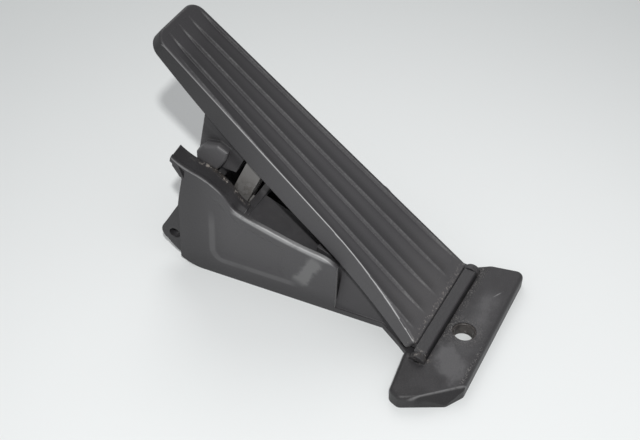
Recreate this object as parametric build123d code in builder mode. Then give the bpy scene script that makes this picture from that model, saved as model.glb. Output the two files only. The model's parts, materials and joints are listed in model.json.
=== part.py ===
from build123d import *
import math
import os

os.makedirs("parts", exist_ok=True)

# Frame: origin on the fixing sleeve axis at floor level, X to the driver's right,
# Y towards the rear of the housing, Z up, millimetres.

# Foot and fixing sleeve
foot_height = 8.0
foot_front_y = -15.0
foot_front_left_x = -34.0
foot_left_tip = (-56.0, 11.5)
foot_left_front = (-44.0, -9.5)
foot_left_rear = (-53.5, 18.0)
foot_right_front = (56.5, -12.5)
foot_right_rear = (52.0, 6.0)
foot_right_neck = (47.0, 13.0)
foot_rear_y = 22.0
foot_corner_radius = 4.0
foot_edge_radius = 2.2
sleeve_bore_radius = 5.5
sleeve_outer_radius = 6.4
sleeve_chamfer = 0.25
sleeve_recess = 0.5

# Pedal face and hinge
face_angle = 36.65
face_edge_y = 16.8
face_edge_z = 11.2
hinge_y = 13.4
hinge_z = 7.6
barrel_radius = 3.6
barrel_left_x = -27.0
barrel_right_x = 39.5
barrel_bar_depth = 6.6
hinge_gap = 0.4
ear_thickness = 3.6
ear_radius = 4.4
pin_radius = 1.75
pin_running_gap = 0.05
pin_end_recess = 0.4
trough_gap = 0.5

# Pedal plate
pedal_length = 203.0
pedal_left_bottom_x = -23.6
pedal_left_flare_x = -8.8
pedal_flare_s = 75.0
pedal_left_top_x = -2.9
pedal_right_bottom_x = 42.5
pedal_right_top_x = 34.3
pedal_corner_radius = 8.0
pedal_foot_corner = 2.0
plate_thickness = 4.0
skirt_thickness = 2.4
skirt_end_depth = 5.6
skirt_mid_depth = 14.0
skirt_mid_s = 98.0
plate_edge_radius = 1.4
rib_depth = 2.5
rib_thickness = 2.2
rib_x = (10.0, 28.5)
cross_ribs = ((60.0, -9.0, 38.0), (146.0, 6.5, 34.0), (182.0, -2.0, 33.0))
bar_edge_radius = 0.8
fuse_overlap = 0.5

# Tread flutes, each running from one ridge line to the next
flute_depth = 1.25
flute_start_s = 9.0
flute_full_s = 26.0
flute_end_s = 184.0
flute_top_s = 199.0
flute_land = 0.7
ridge_bottom_x = (-16.5, -4.0, 10.2, 25.3, 39.6)
ridge_top_x = (-0.4, 5.6, 14.4, 23.0, 32.0)
flute_fade = 0.06
flute_rise = 1.2
flute_crest = 0.35

# Link, lug and hook arm of the pedal
link_top_y = 121.0
link_top_z = 74.0
link_bottom_y = 134.5
link_bottom_z = 40.0
link_left_x = -4.0
link_right_x = 9.0
link_half_width = 5.0
fork_left_x = 0.0
fork_right_x = 5.0
fork_side_gap = 0.35
lug_radius = 5.0
link_pin_radius = 2.2
link_pin_gap = 0.05
fork_root = 11.0
eye_gap = 0.65
arm_left_x = -3.2
arm_right_x = 5.2
arm_corner_radius = 2.0
arm_rear_top_y = 149.8
arm_front_y = 127.2
arm_nose_y = 134.0
arm_nose_z = 62.0
arm_heel_y = 155.6
arm_heel_z = 71.0
arm_top_z = 77.5
arm_sole_z = 52.5
arm_sole_front_y = 143.5
toe_left_x = -16.4
cheek_outline = (
    (154.0, 60.5), (154.0, 71.8), (149.5, 78.0), (141.5, 80.0),
    (135.5, 77.0), (137.5, 70.5), (140.5, 65.5), (144.5, 60.5),
)
cheek_gap = 0.6
cheek_width = 7.6
cheek_edge_radius = 1.8

# Lever and return springs
lever_y = 80.0
lever_z = 18.0
hub_radius = 8.0
hub_left_x = -1.5
hub_right_x = 36.5
shaft_radius = 3.5
shaft_left_x = -5.4
shaft_right_x = 51.0
shaft_running_gap = 0.05
lever_eye_radius = 4.6
lever_arm_radius = 5.2
washer_radius = 6.5
washer_gap = 0.2
paddle_front_y = 84.0
paddle_rear_y = 103.0
paddle_thickness = 3.2
paddle_left_x = 10.3
paddle_right_x = 36.0
paddle_rib_left_x = 22.2
paddle_rib_thickness = 2.2
spring_mean_radius = 10.4
spring_wire_radius = 1.0
spring_turns = 3.5
spring_pitch = 2.35
spring_leg = 19.0
spring_right_ends = (20.0, 34.8)
spring_seat_left_x = 8.0
spring_seat_right_x = 34.0
spring_seat_front_y = 92.0
spring_seat_rear_y = 99.0

# Tray and walls
floor_thickness = 3.0
wall_thickness = 2.6
wall_front_x = -8.35
wall_slant = 0.0859
wall_front_y = 68.5
wall_base_rear_y = 146.5
wall_rear_y = 159.3
heel_mid = (158.2, 3.9)
heel_end = (168.0, 12.8)
tray_right_x = 47.0
right_wall = 3.0
rear_wall_y = 155.0
rear_wall_thickness = 3.0
rear_wall_height = 58.0
rear_slot_left_x = -17.4
rear_slot_right_x = 9.5
rear_slot_z = 17.5
apron_sections = (
    (84.0, -5.6, -5.6, 34.0),
    (70.5, -5.8, -5.6, 29.5),
    (68.5, -14.2, -4.0, 28.8),
    (62.0, -13.7, -4.5, 25.4),
    (41.0, -11.9, -6.3, 15.4),
    (27.0, -19.9, -18.0, 5.2),
)
tray_front_y = 20.0
tray_front_left_x = -24.6
tray_neck = ((-17.5, 30.8), (-11.9, 41.0))
rim_profile = (
    (162.2, 75.2), (159.0, 72.8), (152.7, 69.6), (146.4, 67.5), (139.0, 63.8),
    (133.0, 59.0), (127.0, 51.6), (122.0, 48.8), (111.0, 45.4), (97.0, 41.4),
    (86.0, 38.8), (76.0, 37.0), (68.5, 32.4),
)
rear_edge_profile = ((159.5, 42.5), (158.8, 48.0), (156.4, 62.0), (157.6, 68.0), (162.8, 72.2))
rim_radius = 1.1
ear_hole_y = 163.6
ear_hole_z = 18.3
ear_hole_radius = 3.25
rear_ear_radius = 6.6
lug_crown = (170.0, 22.6)
lug_reach = 12.0
lug_setback = 2.2
lug_web = 2.4
lug_boss_radius = 6.3
lug_boss_length = 8.0
right_rim_profile = ((155.0, 58.0), (120.0, 43.0), (97.0, 31.0), (60.0, 18.0), (24.0, 6.0))
recess_profile = (
    (97.0, 13.0), (139.5, 13.0), (139.5, 58.0), (133.0, 53.0), (126.5, 45.6), (121.0, 42.8), (97.0, 35.8),
)
recess_corner = 2.0
recess_depth = 1.1
recess_taper = 71.0
corner_pocket = ((158.0, 70.6), (154.4, 68.2), (155.2, 62.8))
pocket_depth = 1.7
deck_width = 11.6
deck_profile = (
    (162.2, 74.6), (159.0, 72.2), (152.7, 69.0), (146.4, 66.9), (139.0, 63.2),
    (133.0, 58.4), (127.0, 51.0), (122.5, 48.3),
)
deck_underside = (
    (122.5, 44.5), (128.5, 47.6), (135.5, 56.4), (141.5, 62.0), (158.0, 62.0), (162.2, 68.4),
)
stop_shelf_z = 62.0
stop_pad_thickness = 3.0
stop_pad_gap = 0.3
stop_pad_front_y = 145.0
stop_pad_rear_y = 153.5
stop_pad_width = 6.0
cross_bar_front_y = 121.0
cross_bar_rear_y = 125.2
cross_bar_top_z = 46.0
cross_bar_height = 2.8
panel_front_y = 84.5
panel_front_z = 28.2
panel_rear_z = 45.2
panel_thickness = 2.2
panel_width = 22.4
pedestal_left_x = -5.8
pedestal_right_x = -2.7
pedestal_half = 7.0
boss_left_x = 41.0
boss_radius = 7.5
bush_outer_radius = 4.8
post_left_x = 13.0
post_right_x = 25.0
post_front_y = 40.0
post_rear_y = 49.0
post_height = 11.0
travel_pad_height = 5.4
pad_edge_radius = 0.8

# Sensor pan, cover and electronics
pan_right_x = 58.0
pan_nose_radius = 11.0
pan_rear_y = 118.0
pan_bottom_z = 6.5
pan_top_z = 29.0
pan_wall = 2.4
lobe_radius = 3.6
lobe_positions = ((119.0, 25.2), (119.0, 10.4), (71.0, 8.6))
gasket_thickness = 0.5
cover_thickness = 1.8
seal_left_x = 45.0
seal_radius = 6.0
bush_right_end_x = 44.8
clip_left_x = 47.2
clip_thickness = 0.8
clip_radius = 5.6
clip_groove = 0.5
clip_mouth = 5.0
holder_left_x = 48.4
holder_right_x = 54.0
holder_radius = 7.0
magnet_radius = 5.4
magnet_right_x = 53.8
chip_thickness = 1.3
chip_size = (4.2, 5.2)
chip_offset_y = 3.2
board_left_x = 55.8
board_thickness = 1.4
board_inset = 0.9
stud_radius = 1.6
stud_positions = ((84.0, 25.0), (84.0, 11.0), (113.0, 25.0), (113.0, 11.0))
socket_front_y = 94.5
socket_rear_y = 113.5
socket_bottom_z = 9.5
socket_top_z = 26.0
socket_length = 12.0
socket_wall = 1.8
socket_corner = 2.2
pin_size = 0.9
pin_pitch_y = 4.6
pin_pitch_z = 5.6
pin_columns = 3
pin_rows = 2
pin_tip_recess = 3.0
screw_shank_radius = 1.35
screw_length = 9.0
screw_head_radius = 2.9
screw_head_height = 2.0
screw_socket_radius = 1.3
screw_socket_sides = 6
screw_socket_depth = 1.2

# Derived planes and helpers
face_cos = math.cos(math.radians(face_angle))
face_sin = math.sin(math.radians(face_angle))
face_plane = Plane(
    origin=(0, face_edge_y, face_edge_z),
    x_dir=(1, 0, 0),
    z_dir=(0, -face_sin, face_cos),
)
wall_plane = Plane(
    origin=(wall_front_x, 0, 0),
    x_dir=(-wall_slant, 1, 0),
    z_dir=(1, wall_slant, 0),
)
ear_left_x = barrel_left_x - hinge_gap - ear_thickness
ear_right_x = barrel_right_x + hinge_gap + ear_thickness
trough_radius = barrel_radius + trough_gap
right_inner_x = tray_right_x - right_wall
cover_left_x = pan_right_x + gasket_thickness
cover_right_x = cover_left_x + cover_thickness
paddle_z = lever_z + spring_mean_radius + spring_wire_radius
socket_centre = ((socket_front_y + socket_rear_y) / 2, (socket_bottom_z + socket_top_z) / 2)
skirt_plane = Plane(
    origin=(pedal_left_bottom_x - fuse_overlap, face_edge_y, face_edge_z),
    x_dir=(0, face_cos, face_sin),
    z_dir=(1, 0, 0),
)
flute_stations = (
    (flute_start_s, 2 * flute_fade),
    (flute_full_s, flute_depth),
    (flute_end_s, flute_depth),
    (flute_top_s, 2 * flute_fade),
)


def face_z(y):
    return face_edge_z + (y - face_edge_y) * face_sin / face_cos


lug_outline = (
    (link_top_y - lug_radius, link_top_z),
    (link_top_y - lug_radius, face_z(link_top_y - lug_radius) - plate_thickness / 2),
    (link_top_y + lug_radius, face_z(link_top_y + lug_radius) - plate_thickness / 2),
    (link_top_y + lug_radius, link_top_z),
)
arm_outline = (
    (arm_rear_top_y, face_z(arm_rear_top_y) - plate_thickness),
    (arm_heel_y, arm_heel_z),
    (arm_heel_y, arm_sole_z),
    (arm_sole_front_y, arm_sole_z),
    (arm_sole_front_y, stop_shelf_z),
    (arm_nose_y, arm_nose_z),
    (arm_front_y, arm_top_z),
    (arm_front_y, face_z(arm_front_y) - plate_thickness),
)


def wall_x(y):
    return wall_front_x - wall_slant * y


def side_plane(x):
    return Plane(origin=(x, 0, 0), x_dir=(0, 1, 0), z_dir=(1, 0, 0))


def section_plane(y):
    return Plane(origin=(0, y, 0), x_dir=(1, 0, 0), z_dir=(0, -1, 0))


def flute_plane(s):
    return Plane(
        origin=face_plane.from_local_coords((0, s, 0)),
        x_dir=face_plane.x_dir,
        z_dir=-face_plane.y_dir,
    )


def draw_pan():
    with Locations((lever_y, lever_z)):
        Circle(pan_nose_radius)
    with Locations((lever_y, pan_bottom_z)):
        Rectangle(pan_rear_y - lever_y, pan_top_z - pan_bottom_z, align=(Align.MIN, Align.MIN))
    with Locations(*lobe_positions):
        Circle(lobe_radius)


# Outline of a rear lug in the plane of its wall
with BuildSketch(Plane.XY) as lug_face:
    with BuildLine():
        g1 = ThreePointArc((wall_base_rear_y, 0), heel_mid, heel_end)
        g2 = RadiusArc(g1 @ 1, lug_crown, -rear_ear_radius)
        g3 = Line(g2 @ 1, rear_edge_profile[0])
        Polyline(g3 @ 1, (wall_base_rear_y, rear_edge_profile[0][1]), g1 @ 0)
    make_face()
    with Locations((ear_hole_y, ear_hole_z)):
        Circle(ear_hole_radius, mode=Mode.SUBTRACT)

# Base housing
tray_outline = (
    (tray_front_left_x, tray_front_y),
    *tray_neck,
    (wall_x(rear_wall_y), rear_wall_y),
    (tray_right_x, rear_wall_y),
    (tray_right_x, tray_front_y),
)
foot_outline = (
    (foot_front_left_x, foot_front_y),
    foot_right_front,
    foot_right_rear,
    foot_right_neck,
    (tray_right_x, foot_rear_y),
    (tray_front_left_x, foot_rear_y),
    foot_left_rear,
    foot_left_tip,
    foot_left_front,
)
with BuildPart() as base_housing:
    # Foot with rounded plan corners and top edge
    with BuildSketch(Plane.XY) as foot_sketch:
        with BuildLine():
            Polyline(*foot_outline, close=True)
        make_face()
        foot_corners = foot_sketch.vertices().filter_by(lambda v: v.Y < foot_rear_y - fuse_overlap)
        fillet(foot_corners, foot_corner_radius)
    extrude(amount=foot_height)
    fillet(base_housing.faces().sort_by(Axis.Z)[-1].edges(), foot_edge_radius)
    # Tray floor
    with BuildSketch(Plane.XY):
        with BuildLine():
            Polyline(*tray_outline, close=True)
        make_face()
    extrude(amount=floor_thickness)
    # Clearance for the hinge barrel and the foot of the pedal
    with BuildSketch(side_plane(barrel_left_x - hinge_gap)):
        with Locations((hinge_y, hinge_z)):
            Circle(trough_radius)
        with Locations((hinge_y - trough_radius, hinge_z)):
            Rectangle(foot_rear_y, foot_height, align=(Align.MIN, Align.MIN))
    extrude(amount=barrel_right_x - barrel_left_x + 2 * hinge_gap, mode=Mode.SUBTRACT)
    with BuildSketch(side_plane(barrel_left_x - hinge_gap)):
        with Locations((hinge_y + barrel_radius / 2, floor_thickness + trough_gap)):
            Rectangle(foot_rear_y, foot_height, align=(Align.MIN, Align.MIN))
    extrude(amount=pedal_right_bottom_x - barrel_left_x + 2 * hinge_gap, mode=Mode.SUBTRACT)
    # Hinge ears
    for ear_x in (ear_left_x, ear_right_x - ear_thickness):
        with BuildSketch(side_plane(ear_x)):
            with Locations((hinge_y, hinge_z)):
                Circle(ear_radius)
            with Locations((hinge_y, 0)):
                Rectangle(2 * ear_radius, hinge_z, align=(Align.CENTER, Align.MIN))
        extrude(amount=ear_thickness)
    # Side wall with its curved, rounded rim
    with BuildSketch(wall_plane):
        with BuildLine():
            l1 = Line((wall_front_y, 0), (wall_base_rear_y, 0))
            l2 = ThreePointArc(l1 @ 1, heel_mid, heel_end)
            l3 = Line(l2 @ 1, rear_edge_profile[0])
            l4 = Polyline(*rear_edge_profile)
            l5 = Line(l4 @ 1, rim_profile[0])
            l6 = Spline(*rim_profile)
            Line(l6 @ 1, l1 @ 0)
        make_face()
        with Locations((wall_rear_y, 0)):
            Rectangle(
                lug_reach,
                rear_edge_profile[0][1],
                align=(Align.MIN, Align.MIN),
                mode=Mode.SUBTRACT,
            )
    extrude(amount=wall_thickness)
    fillet(
        base_housing.edges().filter_by(GeomType.BSPLINE).sort_by(Axis.Z)[-2:].sort_by(Axis.X)[0],
        rim_radius,
    )
    # Apron in front of the wall, inside the path of the pressed skirt
    for y, foot_x, top_x, top in apron_sections:
        with BuildSketch(section_plane(y)):
            with BuildLine():
                Polyline(
                    (foot_x, 0),
                    (top_x, top),
                    (top_x + wall_thickness, top),
                    (foot_x + wall_thickness, 0),
                    close=True,
                )
            make_face()
    loft(ruled=True)
    # Right wall
    with BuildSketch(side_plane(right_inner_x)):
        with BuildLine():
            Polyline(
                (right_rim_profile[-1][0], 0),
                (rear_wall_y, 0),
                *right_rim_profile,
                close=True,
            )
        make_face()
    extrude(amount=right_wall)
    # Rear lugs, set back from the walls
    for lug_plane in (
        wall_plane.offset(lug_setback),
        side_plane(tray_right_x - lug_setback - lug_web),
    ):
        with BuildSketch(lug_plane):
            add(lug_face.sketch)
        extrude(amount=lug_web)
    for boss_plane in (
        wall_plane.offset(lug_setback),
        side_plane(tray_right_x - lug_setback - lug_boss_length),
    ):
        with BuildSketch(boss_plane):
            with Locations((ear_hole_y, ear_hole_z)):
                Circle(lug_boss_radius)
                Circle(ear_hole_radius, mode=Mode.SUBTRACT)
        extrude(amount=lug_boss_length)
    # Rear wall, open where the hook arm swings down
    with BuildSketch(Plane(origin=(0, rear_wall_y, 0), x_dir=(1, 0, 0), z_dir=(0, -1, 0))):
        with BuildLine():
            Polyline(
                (wall_x(rear_wall_y) + fuse_overlap, 0),
                (wall_x(rear_wall_y) + fuse_overlap, stop_shelf_z - stop_pad_thickness),
                (rear_slot_left_x, stop_shelf_z - stop_pad_thickness),
                (rear_slot_left_x, rear_slot_z),
                (rear_slot_right_x, rear_slot_z),
                (rear_slot_right_x, rear_wall_height),
                (right_inner_x + fuse_overlap, rear_wall_height),
                (right_inner_x + fuse_overlap, 0),
                close=True,
            )
        make_face()
    extrude(amount=rear_wall_thickness)
    # Deck strip along the rim
    with BuildSketch(wall_plane.offset(wall_thickness / 2)):
        with BuildLine():
            d1 = Spline(*deck_profile)
            Polyline(d1 @ 1, *deck_underside, d1 @ 0)
        make_face()
    extrude(amount=deck_width - wall_thickness / 2)
    # Inner panel and cross bar beside the slot
    with BuildSketch(wall_plane.offset(wall_thickness - fuse_overlap)):
        with BuildLine():
            Polyline(
                (panel_front_y, panel_front_z),
                (cross_bar_front_y, panel_rear_z),
                (cross_bar_front_y, panel_rear_z - panel_thickness),
                (panel_front_y, panel_front_z - panel_thickness),
                close=True,
            )
        make_face()
    extrude(amount=panel_width)
    cross_bar_left_x = wall_x(cross_bar_front_y) + wall_thickness / 2
    with Locations((cross_bar_left_x, cross_bar_front_y, cross_bar_top_z - cross_bar_height)):
        Box(
            right_inner_x + fuse_overlap - cross_bar_left_x,
            cross_bar_rear_y - cross_bar_front_y,
            cross_bar_height,
            align=(Align.MIN, Align.MIN, Align.MIN),
        )
    # Pedestal and boss of the lever shaft
    with BuildSketch(side_plane(pedestal_left_x)):
        with Locations((lever_y, lever_z)):
            Circle(pedestal_half)
        with Locations((lever_y, 0)):
            Rectangle(2 * pedestal_half, lever_z, align=(Align.CENTER, Align.MIN))
    extrude(amount=pedestal_right_x - pedestal_left_x)
    with BuildSketch(side_plane(boss_left_x)):
        with Locations((lever_y, lever_z)):
            Circle(boss_radius)
    extrude(amount=tray_right_x - boss_left_x)
    # Spring seat and post of the full travel stop
    with Locations((spring_seat_left_x, spring_seat_front_y, 0)):
        Box(
            spring_seat_right_x - spring_seat_left_x,
            spring_seat_rear_y - spring_seat_front_y,
            lever_z - spring_mean_radius - spring_wire_radius,
            align=(Align.MIN, Align.MIN, Align.MIN),
        )
    with Locations((post_left_x, post_front_y, 0)):
        Box(
            post_right_x - post_left_x,
            post_rear_y - post_front_y,
            post_height,
            align=(Align.MIN, Align.MIN, Align.MIN),
        )
    # Sensor pan on the outside of the right wall
    with BuildSketch(side_plane(right_inner_x + fuse_overlap)):
        draw_pan()
    extrude(amount=pan_right_x - right_inner_x - fuse_overlap)
    with BuildSketch(side_plane(tray_right_x)):
        with Locations((lever_y, lever_z)):
            Circle(pan_nose_radius - pan_wall)
        with Locations((lever_y, pan_bottom_z + pan_wall)):
            Rectangle(
                pan_rear_y - lever_y - pan_wall,
                pan_top_z - pan_bottom_z - 2 * pan_wall,
                align=(Align.MIN, Align.MIN),
            )
    extrude(amount=pan_right_x - tray_right_x, mode=Mode.SUBTRACT)
    with BuildSketch(side_plane(pan_right_x)):
        with Locations(*lobe_positions):
            Circle(screw_shank_radius)
    extrude(amount=-screw_length, mode=Mode.SUBTRACT)
    # Bores of sleeve, hinge pin, bushes and seal
    with BuildSketch(Plane.XY):
        Circle(sleeve_outer_radius)
    extrude(amount=foot_height, mode=Mode.SUBTRACT)
    with BuildSketch(side_plane(ear_left_x)):
        with Locations((hinge_y, hinge_z)):
            Circle(pin_radius)
    extrude(amount=ear_right_x - ear_left_x, mode=Mode.SUBTRACT)
    with BuildSketch(side_plane(pedestal_left_x)):
        with Locations((lever_y, lever_z)):
            Circle(bush_outer_radius)
    extrude(amount=tray_right_x - pedestal_left_x, mode=Mode.SUBTRACT)
    with BuildSketch(side_plane(seal_left_x)):
        with Locations((lever_y, lever_z)):
            Circle(seal_radius)
    extrude(amount=tray_right_x - seal_left_x, mode=Mode.SUBTRACT)
    # Underside rising to the lugs
    with BuildSketch(side_plane(wall_x(heel_end[0]) - fuse_overlap)):
        with BuildLine():
            h1 = ThreePointArc((wall_base_rear_y, 0), heel_mid, heel_end)
            Polyline(h1 @ 1, (heel_end[0], -foot_height), (wall_base_rear_y, -foot_height), h1 @ 0)
        make_face()
    extrude(amount=tray_right_x - wall_x(heel_end[0]) + 2 * fuse_overlap, mode=Mode.SUBTRACT)
    # Shallow recess and corner pocket in the outside of the wall
    with BuildSketch(wall_plane) as recess_sketch:
        with BuildLine():
            Polyline(*recess_profile, close=True)
        make_face()
        fillet(recess_sketch.vertices(), recess_corner)
    extrude(amount=recess_depth, taper=recess_taper, mode=Mode.SUBTRACT)
    with BuildSketch(wall_plane):
        with BuildLine():
            Polyline(*corner_pocket, close=True)
        make_face()
    extrude(amount=pocket_depth, mode=Mode.SUBTRACT)
base_housing.part.label = "base_housing"
export_step(base_housing.part, "parts/base_housing.step")

# Fixing sleeve
with BuildPart() as fixing_sleeve:
    with BuildSketch(Plane.XY):
        Circle(sleeve_outer_radius)
        Circle(sleeve_bore_radius, mode=Mode.SUBTRACT)
    extrude(amount=foot_height - sleeve_recess)
    chamfer(fixing_sleeve.edges().filter_by(GeomType.CIRCLE), sleeve_chamfer)
fixing_sleeve.part.label = "fixing_sleeve"
export_step(fixing_sleeve.part, "parts/fixing_sleeve.step")

# Hinge pin
with BuildPart() as hinge_pin:
    with BuildSketch(side_plane(ear_left_x + pin_end_recess)):
        with Locations((hinge_y, hinge_z)):
            Circle(pin_radius)
    extrude(amount=ear_right_x - ear_left_x - 2 * pin_end_recess)
hinge_pin.part.label = "hinge_pin"
export_step(hinge_pin.part, "parts/hinge_pin.step")

# Outline of the pedal face, flaring to the left near the hinge
with BuildSketch(Plane.XY) as face_outline:
    with BuildLine():
        f1 = Line((pedal_left_top_x, pedal_length), (pedal_left_flare_x, pedal_flare_s))
        f2 = TangentArc(f1 @ 1, (pedal_left_bottom_x, 0), tangent=f1 % 1)
        f3 = Line(f2 @ 1, (pedal_right_bottom_x, 0))
        f4 = Line(f3 @ 1, (pedal_right_top_x, pedal_length))
        Line(f4 @ 1, f1 @ 0)
    make_face()
    fillet(face_outline.vertices().sort_by(Axis.Y)[-2:], pedal_corner_radius)
    fillet(face_outline.vertices().sort_by(Axis.Y)[:2], pedal_foot_corner)

# Pedal plate: tread, skirts, ribs, barrel, link lug and hook arm
with BuildPart() as pedal_plate:
    # Slab and skirts
    with BuildSketch(face_plane):
        add(face_outline.sketch)
    extrude(amount=-skirt_mid_depth)
    tread_face = pedal_plate.faces().sort_by(Axis(face_plane.origin, face_plane.z_dir))[-1]
    fillet(tread_face.edges(), plate_edge_radius)
    with BuildSketch(face_plane.offset(-plate_thickness)):
        add(face_outline.sketch)
        offset(amount=-skirt_thickness, mode=Mode.REPLACE)
    extrude(amount=-skirt_mid_depth, mode=Mode.SUBTRACT)
    # Stiffening ribs
    for x in rib_x:
        with BuildSketch(face_plane.offset(-plate_thickness)):
            with Locations((x, pedal_length / 2)):
                Rectangle(rib_thickness, pedal_length - 2 * skirt_thickness)
        extrude(amount=-rib_depth)
    for s, left, right in cross_ribs:
        with BuildSketch(face_plane.offset(-plate_thickness)):
            with Locations((left, s)):
                Rectangle(right - left, rib_thickness, align=(Align.MIN, Align.CENTER))
        extrude(amount=-rib_depth)
    # Lower edge of the skirts swells in the middle of their length
    with BuildSketch(skirt_plane):
        with BuildLine():
            k1 = ThreePointArc(
                (-skirt_mid_depth, -skirt_end_depth),
                (skirt_mid_s, -skirt_mid_depth),
                (pedal_length + skirt_mid_depth, -skirt_end_depth),
            )
            k2 = Polyline(
                k1 @ 1,
                (pedal_length + skirt_mid_depth, -2 * skirt_mid_depth),
                (-skirt_mid_depth, -2 * skirt_mid_depth),
                k1 @ 0,
            )
        make_face()
    extrude(amount=pedal_right_bottom_x - pedal_left_bottom_x + 2 * fuse_overlap, mode=Mode.SUBTRACT)
    # Tread flutes
    for i in range(len(ridge_bottom_x) - 1):
        for s, depth in flute_stations:
            t = (s - flute_start_s) / (flute_top_s - flute_start_s)
            left = ridge_bottom_x[i] + t * (ridge_top_x[i] - ridge_bottom_x[i]) + flute_land
            right = ridge_bottom_x[i + 1] + t * (ridge_top_x[i + 1] - ridge_bottom_x[i + 1])
            with BuildSketch(flute_plane(s)):
                with BuildLine():
                    Polyline(
                        (left, flute_rise),
                        (left, -flute_fade),
                        (left + flute_crest * (right - left), -flute_crest * depth),
                        (right - flute_land, -depth),
                        (right, -flute_fade),
                        (right, flute_rise),
                        close=True,
                    )
                make_face()
        loft(ruled=True, mode=Mode.SUBTRACT)
    # Hinge barrel with its flat bar and the web to the plate
    with BuildSketch(side_plane(barrel_left_x)):
        with Locations((hinge_y, hinge_z)):
            Circle(barrel_radius)
            Rectangle(barrel_bar_depth, barrel_radius, align=(Align.CENTER, Align.MIN))
    extrude(amount=barrel_right_x - barrel_left_x)
    fillet(
        pedal_plate.edges().filter_by(Axis.X).filter_by_position(
            Axis.Z, hinge_z + barrel_radius - pin_running_gap, hinge_z + barrel_radius + pin_running_gap
        ).filter_by_position(Axis.Y, 0, face_edge_y - pin_end_recess),
        bar_edge_radius,
    )
    with BuildSketch(side_plane(pedal_left_bottom_x + pedal_foot_corner)):
        with BuildLine():
            Polyline(
                (hinge_y, hinge_z - barrel_radius / 2),
                (face_edge_y + plate_thickness, hinge_z - pin_end_recess),
                (face_edge_y + plate_thickness, face_edge_z),
                (face_edge_y + pin_end_recess, face_edge_z - barrel_radius / 2),
                (hinge_y, face_edge_z - barrel_radius / 2),
                close=True,
            )
        make_face()
    extrude(amount=barrel_right_x - pedal_left_bottom_x - pedal_foot_corner)
    # Lug for the link
    with BuildSketch(side_plane(fork_left_x + fork_side_gap)):
        with Locations((link_top_y, link_top_z)):
            Circle(lug_radius)
        with BuildLine():
            Polyline(*lug_outline, close=True)
        make_face()
    extrude(amount=fork_right_x - fork_left_x - 2 * fork_side_gap)
    # Hook arm with the toe that stops the pedal at rest
    with BuildSketch(side_plane(arm_left_x)) as arm_sketch:
        with BuildLine():
            Polyline(*arm_outline, close=True)
        make_face()
        fillet(
            arm_sketch.vertices().filter_by(lambda v: arm_sole_z < v.Z - fuse_overlap < arm_top_z),
            arm_corner_radius,
        )
    extrude(amount=arm_right_x - arm_left_x)
    with BuildSketch(wall_plane.offset(deck_width + cheek_gap)):
        with BuildLine():
            Polyline(*cheek_outline, close=True)
        make_face()
    extrude(amount=cheek_width)
    wall_side_faces = pedal_plate.faces().filter_by(wall_plane)
    cheek_face = wall_side_faces.sort_by(Axis(wall_plane.origin, wall_plane.z_dir))[0]
    fillet(cheek_face.edges(), cheek_edge_radius)
    with Locations((toe_left_x, stop_pad_front_y, arm_sole_z)):
        Box(
            arm_right_x - toe_left_x,
            stop_pad_rear_y - stop_pad_front_y,
            stop_shelf_z - stop_pad_thickness - stop_pad_gap - arm_sole_z,
            align=(Align.MIN, Align.MIN, Align.MIN),
        )
    # Bores
    with BuildSketch(side_plane(barrel_left_x)):
        with Locations((hinge_y, hinge_z)):
            Circle(pin_radius + pin_running_gap)
    extrude(amount=barrel_right_x - barrel_left_x, mode=Mode.SUBTRACT)
    with BuildSketch(side_plane(fork_left_x)):
        with Locations((link_top_y, link_top_z)):
            Circle(link_pin_radius)
    extrude(amount=fork_right_x - fork_left_x, mode=Mode.SUBTRACT)
pedal_plate.part.label = "pedal_plate"
export_step(pedal_plate.part, "parts/pedal_plate.step")

# Link pins
with BuildPart() as link_pin_top:
    with BuildSketch(side_plane(link_left_x)):
        with Locations((link_top_y, link_top_z)):
            Circle(link_pin_radius)
    extrude(amount=link_right_x - link_left_x)
link_pin_top.part.label = "link_pin_top"
export_step(link_pin_top.part, "parts/link_pin_top.step")

with BuildPart() as link_pin_bottom:
    with BuildSketch(side_plane(link_left_x)):
        with Locations((link_bottom_y, link_bottom_z)):
            Circle(link_pin_radius)
    extrude(amount=link_right_x - link_left_x)
link_pin_bottom.part.label = "link_pin_bottom"
export_step(link_pin_bottom.part, "parts/link_pin_bottom.step")

# Drive link, forked at both ends
with BuildPart() as drive_link:
    with BuildSketch(side_plane(link_left_x)):
        with Locations((link_top_y, link_top_z), (link_bottom_y, link_bottom_z)):
            Circle(link_half_width)
        make_hull()
    extrude(amount=link_right_x - link_left_x)
    with BuildSketch(side_plane(fork_left_x)):
        with Locations((link_top_y, link_top_z), (link_bottom_y, link_bottom_z)):
            Circle(fork_root)
    extrude(amount=fork_right_x - fork_left_x, mode=Mode.SUBTRACT)
    with BuildSketch(side_plane(link_left_x)):
        with Locations((link_top_y, link_top_z)):
            Circle(link_pin_radius + link_pin_gap)
        with Locations((link_bottom_y, link_bottom_z)):
            Circle(link_pin_radius)
    extrude(amount=link_right_x - link_left_x, mode=Mode.SUBTRACT)
drive_link.part.label = "drive_link"
export_step(drive_link.part, "parts/drive_link.step")

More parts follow.
